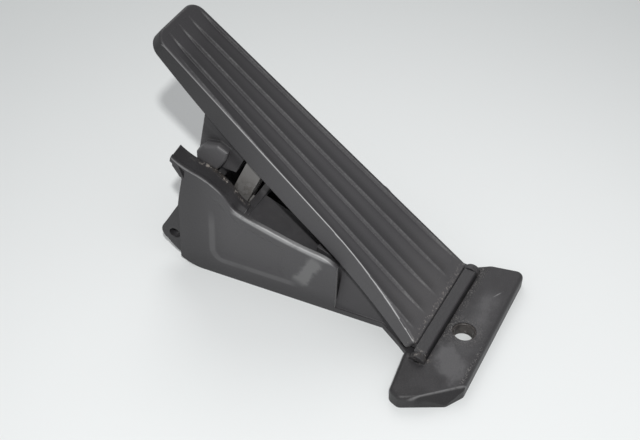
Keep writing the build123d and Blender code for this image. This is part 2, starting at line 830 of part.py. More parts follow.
# Drive lever with hub and spring paddle
with BuildPart() as drive_lever:
    with BuildSketch(side_plane(fork_left_x + fork_side_gap)):
        with Locations((lever_y, lever_z)):
            Circle(lever_arm_radius)
        with Locations((link_bottom_y, link_bottom_z)):
            Circle(lever_eye_radius)
        make_hull()
    extrude(amount=fork_right_x - fork_left_x - 2 * fork_side_gap)
    with BuildSketch(side_plane(hub_left_x)):
        with Locations((lever_y, lever_z)):
            Circle(hub_radius)
    extrude(amount=hub_right_x - hub_left_x)
    with Locations((paddle_left_x, paddle_front_y, paddle_z)):
        Box(
            paddle_right_x - paddle_left_x,
            paddle_rear_y - paddle_front_y,
            paddle_thickness,
            align=(Align.MIN, Align.MIN, Align.MIN),
        )
    with Locations((paddle_rib_left_x, lever_y, lever_z)):
        Box(
            paddle_rib_thickness,
            paddle_rear_y - lever_y - paddle_thickness,
            paddle_z - lever_z + paddle_thickness / 2,
            align=(Align.MIN, Align.MIN, Align.MIN),
        )
    with BuildSketch(side_plane(hub_left_x)):
        with Locations((lever_y, lever_z)):
            Circle(shaft_radius)
    extrude(amount=hub_right_x - hub_left_x, mode=Mode.SUBTRACT)
    with BuildSketch(side_plane(fork_left_x)):
        with Locations((link_bottom_y, link_bottom_z)):
            Circle(link_pin_radius + eye_gap)
    extrude(amount=fork_right_x - fork_left_x, mode=Mode.SUBTRACT)
drive_lever.part.label = "drive_lever"
export_step(drive_lever.part, "parts/drive_lever.step")

# Lever shaft with a groove for its clip
with BuildPart() as lever_shaft:
    with BuildSketch(side_plane(shaft_left_x)):
        with Locations((lever_y, lever_z)):
            Circle(shaft_radius)
    extrude(amount=shaft_right_x - shaft_left_x)
    with BuildSketch(side_plane(clip_left_x)):
        with Locations((lever_y, lever_z)):
            Circle(shaft_radius)
            Circle(shaft_radius - clip_groove, mode=Mode.SUBTRACT)
    extrude(amount=clip_thickness, mode=Mode.SUBTRACT)
lever_shaft.part.label = "lever_shaft"
export_step(lever_shaft.part, "parts/lever_shaft.step")

# Bushes, thrust washer, seal and clip round the shaft
with BuildPart() as left_bush:
    with BuildSketch(side_plane(pedestal_left_x)):
        with Locations((lever_y, lever_z)):
            Circle(bush_outer_radius)
            Circle(shaft_radius + shaft_running_gap, mode=Mode.SUBTRACT)
    extrude(amount=pedestal_right_x - pedestal_left_x)
left_bush.part.label = "left_bush"
export_step(left_bush.part, "parts/left_bush.step")

with BuildPart() as right_bush:
    with BuildSketch(side_plane(boss_left_x)):
        with Locations((lever_y, lever_z)):
            Circle(bush_outer_radius)
            Circle(shaft_radius + shaft_running_gap, mode=Mode.SUBTRACT)
    extrude(amount=bush_right_end_x - boss_left_x)
right_bush.part.label = "right_bush"
export_step(right_bush.part, "parts/right_bush.step")

with BuildPart() as thrust_washer:
    with BuildSketch(side_plane(pedestal_right_x)):
        with Locations((lever_y, lever_z)):
            Circle(washer_radius)
            Circle(shaft_radius + shaft_running_gap, mode=Mode.SUBTRACT)
    extrude(amount=hub_left_x - pedestal_right_x - washer_gap)
thrust_washer.part.label = "thrust_washer"
export_step(thrust_washer.part, "parts/thrust_washer.step")

with BuildPart() as shaft_seal:
    with BuildSketch(side_plane(seal_left_x)):
        with Locations((lever_y, lever_z)):
            Circle(seal_radius)
            Circle(shaft_radius + shaft_running_gap, mode=Mode.SUBTRACT)
    extrude(amount=tray_right_x - seal_left_x)
shaft_seal.part.label = "shaft_seal"
export_step(shaft_seal.part, "parts/shaft_seal.step")

with BuildPart() as shaft_clip:
    with BuildSketch(side_plane(clip_left_x)):
        with Locations((lever_y, lever_z)):
            Circle(clip_radius)
            Circle(shaft_radius - clip_groove, mode=Mode.SUBTRACT)
        with Locations((lever_y, lever_z)):
            Rectangle(clip_mouth, clip_radius, align=(Align.CENTER, Align.MAX), mode=Mode.SUBTRACT)
    extrude(amount=clip_thickness)
shaft_clip.part.label = "shaft_clip"
export_step(shaft_clip.part, "parts/shaft_clip.step")

# Return springs, one leg on the seat and one under the paddle
with BuildPart() as return_spring_left:
    with BuildLine() as left_path:
        coil = Helix(
            spring_pitch,
            spring_pitch * spring_turns,
            spring_mean_radius,
            center=(spring_right_ends[0], lever_y, lever_z),
            direction=(-1, 0, 0),
        )
        Line(coil @ 0 - (coil % 0) * spring_leg, coil @ 0)
        Line(coil @ 1, coil @ 1 + (coil % 1) * spring_leg)
    with BuildSketch(Plane(origin=left_path.wire() @ 0, z_dir=left_path.wire() % 0)):
        Circle(spring_wire_radius)
    sweep(path=left_path.wire())
return_spring_left.part.label = "return_spring_left"
export_step(return_spring_left.part, "parts/return_spring_left.step")

with BuildPart() as return_spring_right:
    with BuildLine() as right_path:
        coil = Helix(
            spring_pitch,
            spring_pitch * spring_turns,
            spring_mean_radius,
            center=(spring_right_ends[1], lever_y, lever_z),
            direction=(-1, 0, 0),
        )
        Line(coil @ 0 - (coil % 0) * spring_leg, coil @ 0)
        Line(coil @ 1, coil @ 1 + (coil % 1) * spring_leg)
    with BuildSketch(Plane(origin=right_path.wire() @ 0, z_dir=right_path.wire() % 0)):
        Circle(spring_wire_radius)
    sweep(path=right_path.wire())
return_spring_right.part.label = "return_spring_right"
export_step(return_spring_right.part, "parts/return_spring_right.step")

# Stop pads
with BuildPart() as rest_stop_pad:
    with Locations((toe_left_x, stop_pad_front_y, stop_shelf_z - stop_pad_thickness)):
        Box(
            stop_pad_width,
            stop_pad_rear_y - stop_pad_front_y,
            stop_pad_thickness,
            align=(Align.MIN, Align.MIN, Align.MIN),
        )
    fillet(rest_stop_pad.faces().sort_by(Axis.Z)[0].edges(), pad_edge_radius)
rest_stop_pad.part.label = "rest_stop_pad"
export_step(rest_stop_pad.part, "parts/rest_stop_pad.step")

with BuildPart() as full_travel_stop:
    with Locations((post_left_x, post_front_y, post_height)):
        Box(
            post_right_x - post_left_x,
            post_rear_y - post_front_y,
            travel_pad_height,
            align=(Align.MIN, Align.MIN, Align.MIN),
        )
    fillet(full_travel_stop.faces().sort_by(Axis.Z)[-1].edges(), pad_edge_radius)
full_travel_stop.part.label = "full_travel_stop"
export_step(full_travel_stop.part, "parts/full_travel_stop.step")

# Magnet holder and magnet on the end of the shaft
with BuildPart() as magnet_holder:
    with BuildSketch(side_plane(holder_left_x)):
        with Locations((lever_y, lever_z)):
            Circle(holder_radius)
    extrude(amount=holder_right_x - holder_left_x)
    with BuildSketch(side_plane(holder_left_x)):
        with Locations((lever_y, lever_z)):
            Circle(shaft_radius)
    extrude(amount=shaft_right_x - holder_left_x, mode=Mode.SUBTRACT)
    with BuildSketch(side_plane(shaft_right_x)):
        with Locations((lever_y, lever_z)):
            Circle(magnet_radius)
    extrude(amount=holder_right_x - shaft_right_x, mode=Mode.SUBTRACT)
magnet_holder.part.label = "magnet_holder"
export_step(magnet_holder.part, "parts/magnet_holder.step")

with BuildPart() as sensor_magnet:
    with BuildSketch(side_plane(shaft_right_x)):
        with Locations((lever_y, lever_z)):
            Circle(magnet_radius)
    extrude(amount=magnet_right_x - shaft_right_x)
sensor_magnet.part.label = "sensor_magnet"
export_step(sensor_magnet.part, "parts/sensor_magnet.step")

# Circuit board with its chips
with BuildPart() as circuit_board:
    with BuildSketch(side_plane(board_left_x)):
        with Locations((lever_y, lever_z)):
            Circle(pan_nose_radius - pan_wall - board_inset)
        with Locations((lever_y, pan_bottom_z + pan_wall + board_inset)):
            Rectangle(
                pan_rear_y - lever_y - pan_wall - board_inset,
                pan_top_z - pan_bottom_z - 2 * pan_wall - 2 * board_inset,
                align=(Align.MIN, Align.MIN),
            )
    extrude(amount=board_thickness)
circuit_board.part.label = "circuit_board"
export_step(circuit_board.part, "parts/circuit_board.step")

with BuildPart() as hall_sensors:
    with BuildSketch(side_plane(board_left_x - chip_thickness)):
        with Locations((lever_y - chip_offset_y, lever_z), (lever_y + chip_offset_y, lever_z)):
            Rectangle(*chip_size)
    extrude(amount=chip_thickness)
hall_sensors.part.label = "hall_sensors"
export_step(hall_sensors.part, "parts/hall_sensors.step")

# Gasket between pan and cover
with BuildPart() as cover_gasket:
    with BuildSketch(side_plane(pan_right_x)):
        draw_pan()
        with Locations((lever_y, lever_z)):
            Circle(pan_nose_radius - pan_wall, mode=Mode.SUBTRACT)
        with Locations((lever_y, pan_bottom_z + pan_wall)):
            Rectangle(
                pan_rear_y - lever_y - pan_wall,
                pan_top_z - pan_bottom_z - 2 * pan_wall,
                align=(Align.MIN, Align.MIN),
                mode=Mode.SUBTRACT,
            )
        with Locations(*lobe_positions):
            Circle(screw_shank_radius, mode=Mode.SUBTRACT)
    extrude(amount=gasket_thickness)
cover_gasket.part.label = "cover_gasket"
export_step(cover_gasket.part, "parts/cover_gasket.step")

# Sensor cover with studs for the board and the connector socket
with BuildPart() as sensor_cover:
    with BuildSketch(side_plane(cover_left_x)):
        draw_pan()
    extrude(amount=cover_thickness)
    with BuildSketch(side_plane(board_left_x + board_thickness)):
        with Locations(*stud_positions):
            Circle(stud_radius)
    extrude(amount=cover_left_x - board_left_x - board_thickness)
    with BuildSketch(side_plane(cover_left_x)) as socket_sketch:
        with Locations((socket_front_y, socket_bottom_z)):
            Rectangle(
                socket_rear_y - socket_front_y,
                socket_top_z - socket_bottom_z,
                align=(Align.MIN, Align.MIN),
            )
        fillet(socket_sketch.vertices(), socket_corner)
    extrude(amount=cover_thickness + socket_length)
    with BuildSketch(side_plane(cover_right_x)):
        with Locations((socket_front_y + socket_wall, socket_bottom_z + socket_wall)):
            Rectangle(
                socket_rear_y - socket_front_y - 2 * socket_wall,
                socket_top_z - socket_bottom_z - 2 * socket_wall,
                align=(Align.MIN, Align.MIN),
            )
    extrude(amount=socket_length, mode=Mode.SUBTRACT)
    with BuildSketch(side_plane(cover_left_x)):
        with Locations(socket_centre):
            with GridLocations(pin_pitch_y, pin_pitch_z, pin_columns, pin_rows):
                Rectangle(pin_size, pin_size)
    extrude(amount=cover_thickness, mode=Mode.SUBTRACT)
    with BuildSketch(side_plane(cover_left_x)):
        with Locations(*lobe_positions):
            Circle(screw_shank_radius)
    extrude(amount=cover_thickness, mode=Mode.SUBTRACT)
sensor_cover.part.label = "sensor_cover"
export_step(sensor_cover.part, "parts/sensor_cover.step")

with BuildPart() as contact_pins:
    with BuildSketch(side_plane(board_left_x + board_thickness)):
        with Locations(socket_centre):
            with GridLocations(pin_pitch_y, pin_pitch_z, pin_columns, pin_rows):
                Rectangle(pin_size, pin_size)
    extrude(amount=cover_right_x + socket_length - pin_tip_recess - board_left_x - board_thickness)
contact_pins.part.label = "contact_pins"
export_step(contact_pins.part, "parts/contact_pins.step")

with BuildPart() as cover_screws:
    with BuildSketch(side_plane(cover_right_x)):
        with Locations(*lobe_positions):
            Circle(screw_head_radius)
    extrude(amount=screw_head_height)
    with BuildSketch(side_plane(cover_right_x)):
        with Locations(*lobe_positions):
            Circle(screw_shank_radius)
    extrude(amount=-screw_length)
    with BuildSketch(side_plane(cover_right_x + screw_head_height)):
        with Locations(*lobe_positions):
            RegularPolygon(screw_socket_radius, screw_socket_sides)
    extrude(amount=-screw_socket_depth, mode=Mode.SUBTRACT)
cover_screws.part.label = "cover_screws"
export_step(cover_screws.part, "parts/cover_screws.step")
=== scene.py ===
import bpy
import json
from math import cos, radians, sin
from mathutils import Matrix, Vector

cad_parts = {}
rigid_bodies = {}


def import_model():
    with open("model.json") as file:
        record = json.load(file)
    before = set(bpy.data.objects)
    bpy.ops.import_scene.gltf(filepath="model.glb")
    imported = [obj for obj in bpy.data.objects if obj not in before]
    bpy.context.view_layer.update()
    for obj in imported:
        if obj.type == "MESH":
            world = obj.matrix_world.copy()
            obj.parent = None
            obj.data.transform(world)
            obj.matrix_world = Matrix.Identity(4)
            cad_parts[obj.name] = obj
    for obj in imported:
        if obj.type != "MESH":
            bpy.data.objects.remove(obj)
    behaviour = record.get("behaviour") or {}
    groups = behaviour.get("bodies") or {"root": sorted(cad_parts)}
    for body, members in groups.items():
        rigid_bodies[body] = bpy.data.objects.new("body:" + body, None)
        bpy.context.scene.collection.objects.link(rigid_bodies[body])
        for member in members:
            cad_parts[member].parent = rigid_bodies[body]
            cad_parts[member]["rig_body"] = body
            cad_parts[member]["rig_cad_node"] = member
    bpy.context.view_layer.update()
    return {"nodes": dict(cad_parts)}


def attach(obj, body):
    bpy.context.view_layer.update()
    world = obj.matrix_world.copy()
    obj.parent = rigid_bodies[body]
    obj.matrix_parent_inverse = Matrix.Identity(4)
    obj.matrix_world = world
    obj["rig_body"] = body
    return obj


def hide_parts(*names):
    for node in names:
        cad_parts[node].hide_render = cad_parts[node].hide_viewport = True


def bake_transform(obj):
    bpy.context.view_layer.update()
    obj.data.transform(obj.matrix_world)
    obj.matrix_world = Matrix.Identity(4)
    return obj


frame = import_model()

# %% [markdown]
# A floor-hinged accelerator pedal: a long fluted tread on a hinge bar, a dark moulded
# housing behind it, and a strut that carries the movement down to a lever and a sensor.
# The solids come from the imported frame. This lesson dresses them: it softens the moulded
# edges, cuts one facet, winds two springs, paints each material with nodes, and lights the
# part on a pale table. Places and sizes are in metres, angles in degrees unless a line says
# otherwise: x goes to the right, y to the rear and z up from the fixing sleeve's axis.

nodes = frame["nodes"]
bpy.ops.object.select_all(action="DESELECT")

# %% [markdown]
# The camera looks down from the left of the foot. Its place and its axes were found by
# fitting the sleeve, the hinge edge and the long edges of the tread, so the picture's frame
# is the same as the photograph's. A 73 mm lens on a 36 mm sensor gives that field of view.

# %% Camera
EYE = Vector((-0.43657, -0.12653, 0.51538))
RIGHT = Vector((0.463417, -0.885617, 0.030450))
UP = Vector((0.604837, 0.341233, 0.719536))
LENS_MM, SENSOR_MM = 73.125, 36.0

bpy.ops.object.camera_add(location=EYE)
camera = bpy.context.object
axes = Matrix((RIGHT, UP, RIGHT.cross(UP))).transposed()
camera.matrix_world = Matrix.Translation(EYE) @ axes.to_4x4()
camera.data.lens = LENS_MM
camera.data.sensor_width = SENSOR_MM
bpy.context.scene.camera = camera
print("camera at", tuple(round(v, 3) for v in EYE))

# %% [markdown]
# The table is one wide pale sheet that catches the soft shadow. The main lamp stands high on
# the camera's side, in front of the foot: on the real table the raised end of the tread throws
# its shadow backwards, and that shadow gave the lamp's direction. A weak lamp from the far
# side and an even grey world keep the hidden faces from going black.

# %% Table and light
TABLE_WIDTH = 6.0
PART_MIDDLE = (0.0, 0.08, 0.04)
KEY_PLACE, KEY_SIZE, KEY_WATTS = (-0.74, -0.33, 1.13), 0.06, 13.0
FILL_PLACE, FILL_SIZE, FILL_WATTS = (0.90, 0.70, 1.00), 1.0, 4.0
WORLD_TINT, WORLD_STRENGTH = (0.98, 0.98, 1.0, 1.0), 0.42

bpy.ops.mesh.primitive_plane_add(size=TABLE_WIDTH, location=(0.0, 0.0, 0.0))
table = bpy.context.object
table.name = "table"


def lamp(name, place, size, watts):
    bpy.ops.object.light_add(type="AREA", location=place)
    light = bpy.context.object
    light.name = name
    light.data.shape = "DISK"
    light.data.size = size
    light.data.energy = watts
    aim = Vector(PART_MIDDLE) - Vector(place)
    light.rotation_euler = aim.to_track_quat("-Z", "Y").to_euler()


lamp("key", KEY_PLACE, KEY_SIZE, KEY_WATTS)
lamp("fill", FILL_PLACE, FILL_SIZE, FILL_WATTS)
world = bpy.context.scene.world or bpy.data.worlds.new("studio")
bpy.context.scene.world = world
world.use_nodes = True
sky = world.node_tree.nodes["Background"].inputs
sky["Color"].default_value = WORLD_TINT
sky["Strength"].default_value = WORLD_STRENGTH
bpy.context.scene.view_settings.view_transform = "Standard"
print("table and lamps set")

# %% [markdown]
# Shader maths is easier to read as sums than as a list of nodes and links. One small class
# wraps an output socket: adding or multiplying two of them makes the Math node and the
# links. Every other node is made with the same method. Masks are built from a few shapes:
# a step that rises from 0 to 1, one that falls, a window that does both, and a peak near a
# centre. A pair of places in capitals says where such a step starts and where it ends.


# %% Sockets that can be added and multiplied
class Sock:
    def __init__(self, tree, out):
        self.tree = tree
        self.out = out

    def node(self, kind, inputs, result=0, **settings):
        made = self.tree.nodes.new(kind)
        for key, value in settings.items():
            setattr(made, key, value)
        for key, value in inputs.items():
            if isinstance(value, Sock):
                self.tree.links.new(value.out, made.inputs[key])
            else:
                made.inputs[key].default_value = value
        return Sock(self.tree, made.outputs[result])

    def math(self, kind, other=0.0):
        return self.node("ShaderNodeMath", {0: self, 1: other}, operation=kind)

    def __add__(self, other):
        return self.math("ADD", other)

    def __sub__(self, other):
        return self.math("SUBTRACT", other)

    def __rsub__(self, other):
        return self.math("MULTIPLY", -1.0).math("ADD", other)

    def __mul__(self, other):
        return self.math("MULTIPLY", other)

    def __truediv__(self, other):
        return self.math("DIVIDE", other)

    __radd__ = __add__
    __rmul__ = __mul__

    def larger(self, other):
        return self.math("MAXIMUM", other)

    def root(self):
        return self.math("SQRT")

    def step(self, low, high):
        inputs = {0: self, 1: low, 2: high, 3: 0.0, 4: 1.0}
        return self.node("ShaderNodeMapRange", inputs, interpolation_type="SMOOTHSTEP")

    def fall(self, low, high):
        return 1.0 - self.step(low, high)

    def window(self, start, full, fade, end):
        return self.step(start, full) * self.fall(fade, end)

    def near(self, centre, width):
        return (self - centre).math("ABSOLUTE").fall(0.0, width)

    def axis(self, name):
        return self.node("ShaderNodeSeparateXYZ", {0: self}, result=name)

    def dot(self, other):
        inputs = {0: self, 1: other}
        return self.node("ShaderNodeVectorMath", inputs, result="Value", operation="DOT_PRODUCT")

    def stretch(self, x, y, z):
        return self.node("ShaderNodeVectorMath", {0: self, 1: (x, y, z)}, operation="MULTIPLY")

    def noise(self, scale, detail=4.0, roughness=0.55):
        inputs = {"Vector": self, "Scale": scale, "Detail": detail, "Roughness": roughness}
        return self.node("ShaderNodeTexNoise", inputs)

    def cells(self, scale):
        return self.node("ShaderNodeTexVoronoi", {"Vector": self, "Scale": scale}, feature="SMOOTH_F1")

    def paint(self, below, above):
        inputs = {0: self, 6: below, 7: above}
        return self.node("ShaderNodeMix", inputs, result=2, data_type="RGBA", clamp_factor=True)


print("sockets ready")

# %% [markdown]
# Greys come from one helper: the darker they are, the more of a black plastic's faint violet
# cast they get. Paint goes on in coats, each with a mask, the share of it that covers, and a
# colour. Moulded edges are softened by the shader's own bevel, and where its normal turns away
# from the flat one, the edge counts as worn; its pale coat is partly wear and partly a painted
# highlight.

# %% Greys, coats and soft corners
VIOLET_CAST, VIOLET_BELOW = 0.05, 0.15
WORN_FROM, WORN_FULLY = 0.015, 0.16


def grey(level, warm=0.0):
    violet = VIOLET_CAST * max(0.0, 1.0 - level / VIOLET_BELOW)
    blue = level * (1.0 - warm) * (1.0 + violet * 0.7)
    return (level * (1.0 + warm), level * (1.0 - violet), blue, 1.0)


def new_material(name):
    material = bpy.data.materials.new(name)
    material.use_nodes = True
    shader = material.node_tree.nodes["Principled BSDF"]
    point = Sock(material.node_tree, None).node("ShaderNodeTexCoord", {}, result="Object")
    return material, shader, point


def plug(shader, socket, value):
    if isinstance(value, Sock):
        value.tree.links.new(value.out, shader.inputs[socket])
    else:
        shader.inputs[socket].default_value = value


def coats(colour, *layers):
    for mask, share, above in layers:
        colour = (mask * share).paint(colour, above)
    return colour


def flat_normal(point):
    return point.node("ShaderNodeNewGeometry", {}, result="Normal")


def soft_corner(point, radius):
    return point.node("ShaderNodeBevel", {"Radius": radius}, result="Normal")


# edge wear whose pale coat also serves as a painted highlight on the moulded edges
def worn_and_lit_edge(point, rounded):
    return (1.0 - rounded.dot(flat_normal(point))).step(WORN_FROM, WORN_FULLY)


def bump(point, height, distance, strength, under=None):
    inputs = {"Height": height, "Distance": distance, "Strength": strength}
    if under is not None:
        inputs["Normal"] = under
    return point.node("ShaderNodeBump", inputs, result="Normal")


def dress(material, *names):
    for name in names:
        slots = nodes[name].data.materials
        slots.clear()
        slots.append(material)


print("paint helpers ready")

# %% [markdown]
# The table is a painted board: a cool off-white, with painted shade that darkens it a little away
# from the foot towards its far corners. It is left almost plain, with a faint cloudiness and a
# few fine scratches, so that the eye stays on the part.

# %% Table paint
BRIGHT_X, BRIGHT_RADIUS, FALLOFF_RADIUS = -0.06, 0.12, 0.52
BOARD_COOL, BOARD_PALE = (0.80, 0.82, 0.815, 1.0), (0.82, 0.84, 0.835, 1.0)
SCRATCH_GREY, FALLOFF_GREY = (0.70, 0.72, 0.715, 1.0), (0.57, 0.59, 0.585, 1.0)

material, shader, point = new_material("table_pale")
aside, away = point.axis("X") - BRIGHT_X, point.axis("Y")
# painted shade: the board darkens away from a brighter spot near the foot
falloff_shade = (aside * aside + away * away).root().step(BRIGHT_RADIUS, FALLOFF_RADIUS)
scratch = point.stretch(18.0, 260.0, 1.0).noise(1.0, 5.0, 0.7).step(0.72, 0.78)
board = point.noise(5.0).paint(BOARD_COOL, BOARD_PALE)
board = coats(board, (scratch, 0.25, SCRATCH_GREY), (falloff_shade, 1.0, FALLOFF_GREY))
plug(shader, "Base Color", board)
plug(shader, "Roughness", 0.6)
table.data.materials.append(material)
print("table painted")

# %% [markdown]
# The housing is glass-filled plastic, nearly black and slightly glossy, with a fine grain from
# the mould. A mould shop would call it one finish, but use has made it several, and painted light
# and shade lie over them. It is built from the plain plastic upwards: each mark is a mask, from 0
# to 1, that lays one more coat over what is there.

# %% Housing: grain, rubbed flanks and dust
MOULD_CORNER = 0.0008
SLIT_Y, SLIT_HALF_WIDTH = 0.0684, 0.0030
DARKER_LOW_HEIGHT = 0.034

material, shader, point = new_material("housing_black")
x, y, z = point.axis("X"), point.axis("Y"), point.axis("Z")
normal = flat_normal(point)
facing_up = normal.axis("Z")
rounded = soft_corner(point, MOULD_CORNER)
edge = worn_and_lit_edge(point, rounded) * (1.0 - y.near(SLIT_Y, SLIT_HALF_WIDTH))
cloud = point.noise(38.0, 5.0)
ragged = point.noise(150.0, 5.0, 0.65)
fine = point.noise(900.0, 3.0)
rub = point.stretch(30.0, 160.0, 420.0).noise(1.0, 5.0, 0.7).step(0.58, 0.80)
dust = facing_up.step(0.35, 0.95) * point.noise(160.0, 6.0, 0.7).step(0.42, 0.75)
# the housing gets darker towards the floor
darker_low = z.fall(0.0, DARKER_LOW_HEIGHT)
plastic = coats(
    cloud.paint(grey(0.056), grey(0.070)),
    (rub, 0.30, grey(0.11)),
    (dust, 0.18, grey(0.13, 0.03)),
    (darker_low, 0.55, grey(0.030)),
    # worn edges, their pale coat partly a painted highlight
    (edge, 0.45, grey(0.18)),
)
print("housing plastic started")

# %% [markdown]
# The rounded bead on the rim of the flank gets a painted highlight. It is found in two ways: by
# its slope, halfway between facing left and facing up, and by its height, which climbs to the
# rear in a shallow curve. A ragged noise breaks it up. The front end of the wall lies in shade and
# is painted pale, as painted light.

# %% Housing: painted highlight on the rim's bead
FLANK_RIGHT = (-0.0125, -0.0115)
LEFT_AND_UP = (-0.705, -0.06, 0.705)
BEAD_FRONT, BEAD_FOOT, BEAD_FADE = (0.0690, 0.0740), (0.026, 0.030), (0.126, 0.132)
RIM_FRONT, RIM_REAR, RIM_DEPTH = (0.0690, 0.0760), (0.1240, 0.1290), (-0.0010, 0.0004, 0.0012, 0.0030)
RIM_START, RIM_HEIGHT, RIM_SLOPE, RIM_CURVE = 0.0760, 0.0370, 0.16, 2.1
WALL_END_Y, WALL_END_HALF_WIDTH, WALL_END_RIGHT = 0.0682, 0.0006, (-0.0050, -0.0040)

flank = x.fall(*FLANK_RIGHT)
from_start = y - RIM_START
rim = from_start * from_start * RIM_CURVE + from_start * RIM_SLOPE + RIM_HEIGHT
under_rim = (rim - z).window(*RIM_DEPTH) * y.window(*RIM_FRONT, *RIM_REAR)
# painted highlight along the bead, by slope and by height under the rim
bead_highlight = normal.dot(LEFT_AND_UP).step(0.80, 0.96) * y.step(*BEAD_FRONT)
bead_highlight = bead_highlight.larger(under_rim * 0.75) * flank * ragged.step(0.18, 0.46)
bead_highlight = bead_highlight * z.step(*BEAD_FOOT) * (1.0 - y.step(*BEAD_FADE) * 0.45)
# painted light on the wall's front end face, which lies in shade under the skirt
lightened_wall_end = y.near(WALL_END_Y, WALL_END_HALF_WIDTH) * x.fall(*WALL_END_RIGHT)
lightened_wall_end = lightened_wall_end * normal.axis("Y").fall(-0.95, -0.70)
print("bead from y", BEAD_FRONT[0], "to", RIM_REAR[1])

# %% [markdown]
# The wall steps round a sunk panel, and the step gets a soft pale band of painted highlight. The
# band is drawn as a distance from a line in the wall's own length and height: down the panel's
# rear, round a 7 mm corner and forward along its foot. Towards the rear edge and the floor the
# wall is darkened with painted shade.

# %% Housing: highlight band round the sunk panel, and painted shade
PANEL_REAR, PANEL_FOOT, PANEL_CORNER = 0.1395, 0.0112, 0.0070
BAND_HALF_WIDTH, BAND_FRONT, BAND_TOP = 0.0028, (0.088, 0.096), (0.034, 0.048)
REAR_SHADE, LOW_SHADE = (0.126, 0.154), (0.003, 0.014)

behind = y - (PANEL_REAR - PANEL_CORNER)
beneath = (PANEL_FOOT + PANEL_CORNER) - z
inner = behind.larger(beneath).math("MINIMUM", 0.0)
behind, beneath = behind.larger(0.0), beneath.larger(0.0)
from_band = (behind * behind + beneath * beneath).root() + inner - PANEL_CORNER
# painted highlight along the panel's rounded step
highlight_band = from_band.near(0.0, BAND_HALF_WIDTH).step(0.05, 0.75)
highlight_band = highlight_band * y.step(*BAND_FRONT) * z.fall(*BAND_TOP) * flank * cloud.step(0.20, 0.45)
# painted shade towards the rear edge and towards the floor
rear_shade = y.step(*REAR_SHADE) * flank
low_shade = z.fall(*LOW_SHADE) * flank
print("band round a panel that ends at y", PANEL_REAR)

# %% [markdown]
# Under the front of the rim a patch of painted highlight leans forward as it rises. It is drawn
# in axes of its own, turned by the lean, and the same ragged noise frays its sides. With it the
# marks of the flank are complete, and their coats go on, the two dark ones first.

# %% Housing: highlight patch, and the coats of the flank
PATCH_Y, PATCH_Z, PATCH_LEAN = 0.0842, 0.0240, 25.54
PATCH_HALF_WIDTH, PATCH_HALF_HEIGHT, PATCH_FRAY = 0.0068, 0.0170, 0.0070


def turned(first, second, angle):
    cosine, sine = cos(radians(angle)), sin(radians(angle))
    return first * cosine + second * sine, second * cosine - first * sine


across, upward = turned(y - PATCH_Y, z - PATCH_Z, PATCH_LEAN)
across = across + (ragged - 0.5) * PATCH_FRAY
highlight_patch = across.near(0.0, PATCH_HALF_WIDTH).step(0.05, 0.75)
highlight_patch = highlight_patch * upward.near(0.0, PATCH_HALF_HEIGHT).step(0.05, 0.50) * flank
# painted shade at the rear and low down, then painted highlight on the band, the patch, the wall's end
# and the bead
plastic = coats(
    plastic,
    (rear_shade, 0.85, grey(0.032)),
    (low_shade, 0.55, grey(0.022)),
    (highlight_band, 0.60, grey(0.105)),
    (highlight_patch, 0.70, grey(0.165)),
    (lightened_wall_end, 0.95, grey(0.26)),
    (bead_highlight, 0.80, grey(0.40)),
)
print("flank marks painted")

# %% [markdown]
# The top of the wall's rear is painted darker, and the inside of the tray and the lug behind
# get painted shade. The ledge beside the strut is kept as a mask for later: old grease lies on
# it. The wall slants, so roof and ledge are found by their distance from a slanting line.

# %% Housing: roof, inside and rear lug
WALL_SLANT, WALL_INNER_X = 0.0859, 0.00325
LEDGE_OFFSET, LEDGE_HALF_WIDTH, LEDGE_FOOT = -0.0010, 0.0026, (0.045, 0.050)
LEDGE_Y, LEDGE_HALF_LENGTH = 0.1390, 0.0230
ROOF_FOOT, ROOF_INNER = (0.044, 0.048), (0.0004, 0.0010)
TRAY_LEFT, TRAY_RIGHT, TRAY_FRONT = (-0.0128, -0.0118), (0.043, 0.045), (0.060, 0.075)
LUG_FRONT, LUG_TOP = (0.1592, 0.1598), (0.040, 0.044)

inboard = x + y * WALL_SLANT - WALL_INNER_X
ledge = inboard.near(LEDGE_OFFSET, LEDGE_HALF_WIDTH) * z.step(*LEDGE_FOOT)
ledge = ledge * y.near(LEDGE_Y, LEDGE_HALF_LENGTH)
roof = z.step(*ROOF_FOOT) * facing_up.step(0.40, 0.75) * inboard.fall(*ROOF_INNER)
# painted shade inside the tray and on the lug behind; the roof is painted darker
inside = x.window(*TRAY_LEFT, *TRAY_RIGHT) * y.step(*TRAY_FRONT)
lug_shade = y.step(*LUG_FRONT) * z.fall(*LUG_TOP)
plastic = coats(
    plastic,
    (roof, 0.80, grey(0.020)),
    (inside, 0.38, grey(0.026)),
    (lug_shade, 0.60, grey(0.022)),
)
print("roof, inside and lug darkened")

# %% [markdown]
# The foot is the dirtiest place. Shoes and mats have left it dark and greasy, darkest at its
# left tip and beside the hinge bar, with a paler wiped strip along its middle. Left of the
# fixing hole a heel has wiped a whole patch: an ellipse, its outline broken by the two noises.

# %% Housing: greasy foot and wiped strip
FOOT_REAR, FOOT_TOP = (0.0200, 0.0225), (0.0120, 0.0135)
STRIP_Y, STRIP_HALF_WIDTH, STRIP_HALF_LENGTH, STRIP_FRAY = -0.0030, 0.0085, 0.044, 0.010
HEEL_X, HEEL_Y, HEEL_TURN = -0.0225, -0.0013, 32.74
HEEL_HALF_LENGTH, HEEL_HALF_WIDTH = 0.0125, 0.0078
TIP_RIGHT, BAR_LEFT = (-0.0420, -0.0180), (-0.0160, -0.0040)
BAR_GRIME_Y, BAR_GRIME_HALF_WIDTH = 0.0090, 0.0050

